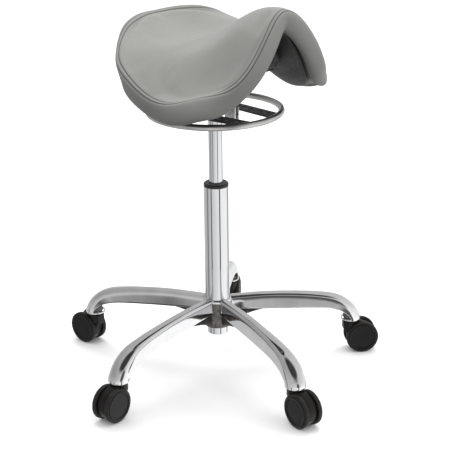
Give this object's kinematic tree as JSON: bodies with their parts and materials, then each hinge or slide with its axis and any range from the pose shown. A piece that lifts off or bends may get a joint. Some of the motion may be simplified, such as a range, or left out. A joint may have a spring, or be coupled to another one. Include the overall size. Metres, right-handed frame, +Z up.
{
  "type": "saddle stool",
  "caption": "Dentist's saddle stool: padded leather saddle on a gas lift, with a release ring under the seat, a polished star base and twin-wheel casters.",
  "frame": {"origin": "on the floor, on the column's axis", "axes": "+Z up along the column; the saddle's front (pommel) points to -Y; the saddle is symmetric about the YZ plane"},
  "size_m": [0.6365, 0.6646, 0.7649],
  "materials": {
    "polished_aluminium": "polished cast aluminium",
    "chrome": "bright chrome plating",
    "satin_steel": "satin nickel-plated steel",
    "bearing_steel": "ground steel",
    "mechanism_black": "black powder coat",
    "light_grey": "light grey powder coat",
    "black_plastic": "fine-grained black nylon",
    "tread": "soft matt tread",
    "rubber": "matt rubber",
    "leather": "grey grained upholstery leather, double stitched",
    "shell": "dark moulded plastic"
  },
  "bodies": {
    "base": {"star_base": "polished_aluminium", "gas_column": "chrome", "column_bush": "black_plastic", "lower_race": "bearing_steel", "bearing_balls": "bearing_steel", "caster_stems": "bearing_steel"},
    "spindle": {"piston_rod": "bearing_steel", "upper_race": "bearing_steel", "bump_stop": "rubber", "rod_clip": "bearing_steel", "piston": "bearing_steel"},
    "seat": {"gas_cylinder": "satin_steel", "rod_guide": "black_plastic", "cone_socket": "mechanism_black", "mechanism_housing": "mechanism_black", "hanger_bracket": "light_grey", "bracket_cover": "mechanism_black", "pivot_pin": "bearing_steel", "rocker_pin": "bearing_steel", "seat_plate": "mechanism_black", "plate_screws": "bearing_steel", "seat_shell": "shell", "seat_pad": "leather"},
    "ring": {"release_ring": "satin_steel", "ring_spider": "mechanism_black", "push_rod": "bearing_steel", "return_spring": "bearing_steel"},
    "rocker_arm": {"rocker": "bearing_steel"},
    "valve_pin": {"release_pin": "bearing_steel"},
    "caster_1": {"caster_1_hood": "black_plastic", "caster_1_axle": "bearing_steel"},
    "caster_1_left": {"caster_1_wheel_left": "black_plastic", "caster_1_tread_left": "tread"},
    "caster_1_right": {"caster_1_wheel_right": "black_plastic", "caster_1_tread_right": "tread"},
    "caster_2": {"caster_2_hood": "black_plastic", "caster_2_axle": "bearing_steel"},
    "caster_2_left": {"caster_2_wheel_left": "black_plastic", "caster_2_tread_left": "tread"},
    "caster_2_right": {"caster_2_wheel_right": "black_plastic", "caster_2_tread_right": "tread"},
    "caster_3": {"caster_3_hood": "black_plastic", "caster_3_axle": "bearing_steel"},
    "caster_3_left": {"caster_3_wheel_left": "black_plastic", "caster_3_tread_left": "tread"},
    "caster_3_right": {"caster_3_wheel_right": "black_plastic", "caster_3_tread_right": "tread"},
    "caster_4": {"caster_4_hood": "black_plastic", "caster_4_axle": "bearing_steel"},
    "caster_4_left": {"caster_4_wheel_left": "black_plastic", "caster_4_tread_left": "tread"},
    "caster_4_right": {"caster_4_wheel_right": "black_plastic", "caster_4_tread_right": "tread"},
    "caster_5": {"caster_5_hood": "black_plastic", "caster_5_axle": "bearing_steel"},
    "caster_5_left": {"caster_5_wheel_left": "black_plastic", "caster_5_tread_left": "tread"},
    "caster_5_right": {"caster_5_wheel_right": "black_plastic", "caster_5_tread_right": "tread"}
  },
  "joints": [
    {"name": "seat_swivel", "type": "hinge", "parent": "base", "child": "spindle", "pos_m": [0, 0, 0.09], "axis": [0, 0, 1], "continuous": true},
    {"name": "seat_height", "type": "slide", "parent": "spindle", "child": "seat", "axis": [0, 0, 1], "range_m": [-0.12, 0.02]},
    {"name": "ring_tilt", "type": "hinge", "parent": "seat", "child": "ring", "pos_m": [0, -0.044, 0.547], "axis": [1, 0, 0], "range_deg": [0, 3], "stiffness_Nm_per_rad": 6, "springref_deg": -11.46, "deforming": ["return_spring"]},
    {"name": "rocker_tilt", "type": "hinge", "parent": "seat", "child": "rocker_arm", "pos_m": [0, 0.012, 0.614], "axis": [1, 0, 0], "range_deg": [0, 11.5]},
    {"name": "valve_press", "type": "slide", "parent": "seat", "child": "valve_pin", "axis": [0, 0, -1], "range_m": [0, 0.0024]},
    {"name": "caster_1_swivel", "type": "hinge", "parent": "base", "child": "caster_1", "pos_m": [0.22996, 0.17172, 0.06], "axis": [0, 0, 1], "continuous": true},
    {"name": "caster_1_spin_left", "type": "hinge", "parent": "caster_1", "child": "caster_1_left", "pos_m": [0.24879, 0.18578, 0.034], "axis": [0.5983, -0.8013, 0], "continuous": true},
    {"name": "caster_1_spin_right", "type": "hinge", "parent": "caster_1", "child": "caster_1_right", "pos_m": [0.24879, 0.18578, 0.034], "axis": [0.5983, -0.8013, 0], "continuous": true},
    {"name": "caster_2_swivel", "type": "hinge", "parent": "base", "child": "caster_2", "pos_m": [-0.09225, 0.27177, 0.06], "axis": [0, 0, 1], "continuous": true},
    {"name": "caster_2_spin_left", "type": "hinge", "parent": "caster_2", "child": "caster_2_left", "pos_m": [-0.09338, 0.29524, 0.034], "axis": [0.9988, 0.048, 0], "continuous": true},
    {"name": "caster_2_spin_right", "type": "hinge", "parent": "caster_2", "child": "caster_2_right", "pos_m": [-0.09338, 0.29524, 0.034], "axis": [0.9988, 0.048, 0], "continuous": true},
    {"name": "caster_3_swivel", "type": "hinge", "parent": "base", "child": "caster_3", "pos_m": [-0.28697, -0.00376, 0.06], "axis": [0, 0, 1], "continuous": true},
    {"name": "caster_3_spin_left", "type": "hinge", "parent": "caster_3", "child": "caster_3_left", "pos_m": [-0.31039, -0.0057, 0.034], "axis": [-0.0828, 0.9966, 0], "continuous": true},
    {"name": "caster_3_spin_right", "type": "hinge", "parent": "caster_3", "child": "caster_3_right", "pos_m": [-0.31039, -0.0057, 0.034], "axis": [-0.0828, 0.9966, 0], "continuous": true},
    {"name": "caster_4_swivel", "type": "hinge", "parent": "base", "child": "caster_4", "pos_m": [-0.08511, -0.27409, 0.06], "axis": [0, 0, 1], "continuous": true},
    {"name": "caster_4_spin_left", "type": "hinge", "parent": "caster_4", "child": "caster_4_left", "pos_m": [-0.09009, -0.29706, 0.034], "axis": [-0.9772, 0.2122, 0], "continuous": true},
    {"name": "caster_4_spin_right", "type": "hinge", "parent": "caster_4", "child": "caster_4_right", "pos_m": [-0.09009, -0.29706, 0.034], "axis": [-0.9772, 0.2122, 0], "continuous": true},
    {"name": "caster_5_swivel", "type": "hinge", "parent": "base", "child": "caster_5", "pos_m": [0.23438, -0.16564, 0.06], "axis": [0, 0, 1], "continuous": true},
    {"name": "caster_5_spin_left", "type": "hinge", "parent": "caster_5", "child": "caster_5_left", "pos_m": [0.25204, -0.18113, 0.034], "axis": [-0.6593, -0.7518, 0], "continuous": true},
    {"name": "caster_5_spin_right", "type": "hinge", "parent": "caster_5", "child": "caster_5_right", "pos_m": [0.25204, -0.18113, 0.034], "axis": [-0.6593, -0.7518, 0], "continuous": true}
  ],
  "couplings": [
    {"joint": "rocker_tilt", "follows": "ring_tilt", "ratio": 3.8333},
    {"joint": "valve_press", "follows": "ring_tilt", "m_per_rad": 0.045837}
  ]
}
